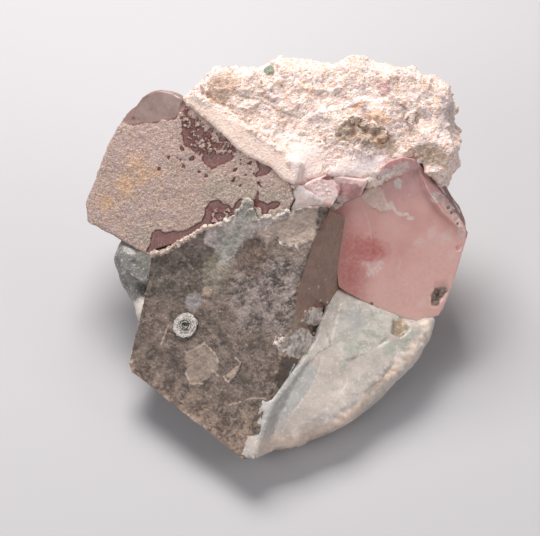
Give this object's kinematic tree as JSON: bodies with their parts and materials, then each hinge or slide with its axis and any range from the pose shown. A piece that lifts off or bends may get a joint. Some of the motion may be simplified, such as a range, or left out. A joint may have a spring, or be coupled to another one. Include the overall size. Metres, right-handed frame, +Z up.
{
  "type": "morganite crystal specimen",
  "caption": "Hand-sized mineral specimen: pink morganite crystals and a smoky quartz crystal grown on cream feldspar and pale albite, lying on its flat broken base.",
  "frame": {"origin": "a point on the flat broken base under the middle of the specimen, on the surface it lies on", "axes": "+Z up out of the base, -Y towards the viewer of the specimen's best side, +X to that viewer's right"},
  "size_m": [0.1212, 0.1189, 0.0755],
  "materials": {
    "feldspar": "matte",
    "albite": "satin",
    "smoky_quartz": "satin",
    "crusted_morganite": "matte",
    "pink_morganite": "gloss",
    "mica": "satin"
  },
  "bodies": {
    "root": {"matrix": "feldspar", "albite": "albite", "smoky_quartz": "smoky_quartz", "morganite_left": "crusted_morganite", "morganite_right": "pink_morganite", "morganite_middle": "pink_morganite", "mica_rosette": "mica"}
  },
  "joints": []
}
